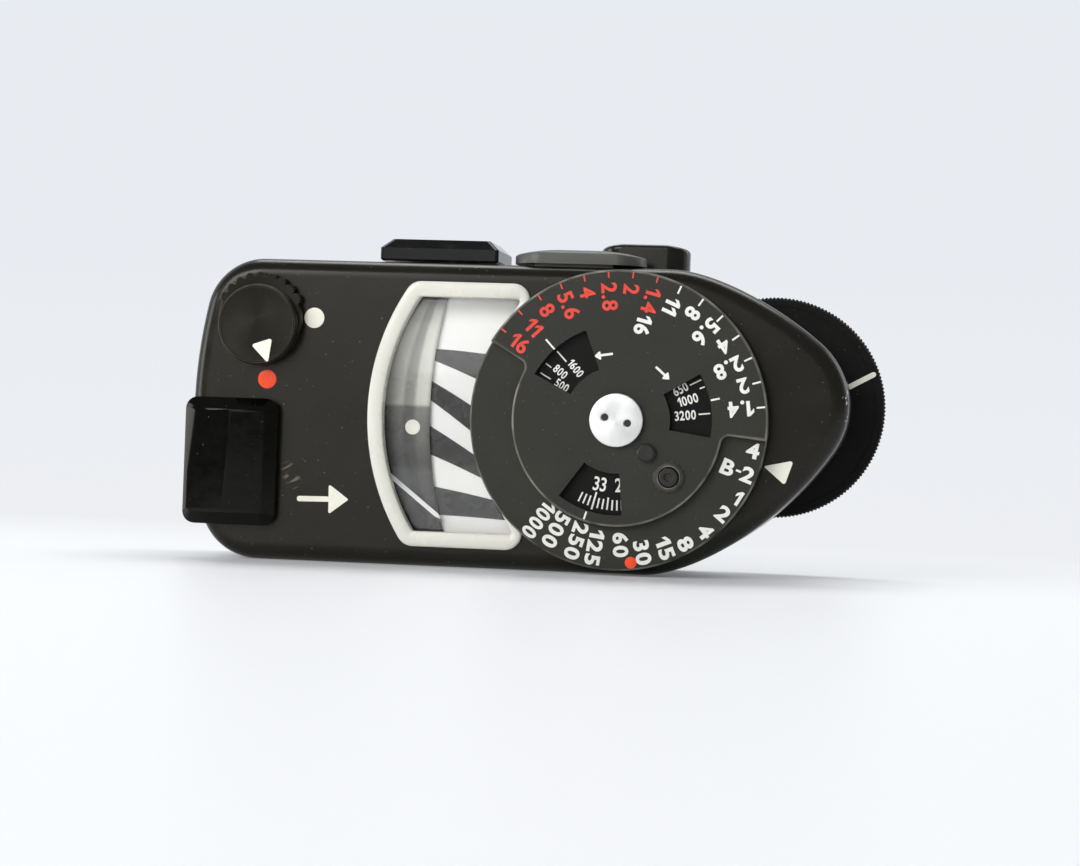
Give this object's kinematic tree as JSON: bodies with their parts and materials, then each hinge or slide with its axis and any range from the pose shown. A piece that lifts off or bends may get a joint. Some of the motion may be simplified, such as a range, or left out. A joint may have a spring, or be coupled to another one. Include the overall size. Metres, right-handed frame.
{
  "type": "shoe-mounted exposure meter",
  "caption": "Clip-on exposure meter with a scale window, calculator dial, range knob, measuring key, photocell window and a geared coupling wheel for the camera's shutter dial.",
  "frame": {"origin": "middle of the bounding box's bottom face, with the meter standing on its long rear edge", "axes": "+X along the meter from the key end to the nose, -Y out of the dial side, +Z towards the edge with the photocell window"},
  "size_m": [0.0798, 0.0256, 0.0383],
  "materials": {
    "black_enamel": "satin black enamel",
    "black_anodised": "black anodised",
    "knurled_black": "black, knurled",
    "gloss_black": "polished black",
    "cream_plastic": "satin cream",
    "scale_white": "white scale paint",
    "track_grey": "grey paint",
    "needle_white": "white paint",
    "clear_plastic": "clear",
    "aluminium": "turned",
    "brass": "machined",
    "steel": "machined",
    "magnet_iron": "plain",
    "copper_wire": "copper wire",
    "board_brown": "phenolic board",
    "resistor_ceramic": "ceramic",
    "cell_glass": "clear",
    "cell_sulphide": "sintered cell"
  },
  "bodies": {
    "case": {"top_housing": "black_enamel", "base_plate": "black_enamel", "shoe_foot": "black_anodised", "foot_screw_1": "steel", "foot_screw_2": "steel", "foot_screw_3": "steel", "foot_screw_4": "steel", "base_screw_1": "steel", "base_screw_2": "steel", "base_screw_3": "steel", "base_screw_4": "steel", "window_bezel": "cream_plastic", "window_pane": "clear_plastic", "scale_plate": "scale_white", "needle_track": "track_grey", "cell_frame": "black_anodised", "cell_lens": "cell_glass", "photocell": "cell_sulphide", "battery": "steel", "battery_tray": "board_brown", "battery_contact": "copper_wire", "chassis": "brass", "circuit_board": "board_brown", "resistor_1": "resistor_ceramic", "resistor_2": "resistor_ceramic", "trim_resistor": "resistor_ceramic", "movement_yoke": "magnet_iron", "movement_core": "magnet_iron", "movement_lower_bridge": "brass", "movement_upper_bridge": "brass", "hairspring": "copper_wire", "dial_bush": "brass", "spindle_bearing": "brass", "gear_bridge": "brass", "coupling_bush": "brass", "range_wafer": "board_brown", "key_contact": "brass", "key_spring": "steel", "spring_stop": "brass"},
    "dial": {"shutter_ring": "black_anodised", "film_speed_plate": "black_anodised", "dial_spindle": "steel", "dial_gear": "brass", "centre_screw": "aluminium"},
    "disc": {"aperture_disc": "black_anodised", "disc_rivet": "black_anodised"},
    "lock": {"film_speed_lock": "black_anodised"},
    "wheel": {"coupling_wheel": "knurled_black", "pinion_shaft": "steel", "coupling_pin": "steel"},
    "knob": {"range_knob": "black_anodised", "range_wiper": "copper_wire"},
    "key": {"measuring_key": "gloss_black"},
    "button": {"test_button": "black_enamel", "button_spring": "steel"},
    "cover": {"battery_cover": "black_anodised"},
    "movement": {"needle": "needle_white", "coil_frame": "copper_wire", "pivot_shaft": "steel"}
  },
  "joints": [
    {"name": "dial_turn", "type": "hinge", "parent": "case", "child": "dial", "pos_m": [0.01035, -0.00983, 0.0174], "axis": [0, -1, 0], "range_deg": [-4.8, 111.4]},
    {"name": "wheel_turn", "type": "hinge", "parent": "case", "child": "wheel", "pos_m": [0.02675, 0.00918, 0.0198], "axis": [0, -1, 0], "range_deg": [-336, 16]},
    {"name": "film_speed_turn", "type": "hinge", "parent": "dial", "child": "disc", "pos_m": [0.01035, -0.01142, 0.0174], "axis": [0, -1, 0], "range_deg": [-3, 76]},
    {"name": "film_speed_lock_press", "type": "slide", "parent": "disc", "child": "lock", "axis": [0, 1, 0], "range_m": [0, 0.0005], "stiffness_N_per_m": 200},
    {"name": "range_turn", "type": "hinge", "parent": "case", "child": "knob", "pos_m": [-0.0316, -0.00882, 0.027], "axis": [0, -1, 0], "range_deg": [-11, 80.5]},
    {"name": "measuring_key_slide", "type": "slide", "parent": "case", "child": "key", "axis": [1, 0, 0], "range_m": [0, 0.0017], "stiffness_N_per_m": 250},
    {"name": "test_button_press", "type": "slide", "parent": "case", "child": "button", "axis": [0, 0, -1], "range_m": [0, 0.001], "stiffness_N_per_m": 300},
    {"name": "battery_cover_slide", "type": "slide", "parent": "case", "child": "cover", "axis": [1, 0, 0], "range_m": [0, 0.002]},
    {"name": "needle_swing", "type": "hinge", "parent": "case", "child": "movement", "pos_m": [-0.02625, -0.00583, 0.01794], "axis": [0, -1, 0], "range_deg": [0, 74], "stiffness_Nm_per_rad": 0.00002}
  ],
  "couplings": [
    {"joint": "wheel_turn", "follows": "dial_turn", "ratio": -3}
  ]
}
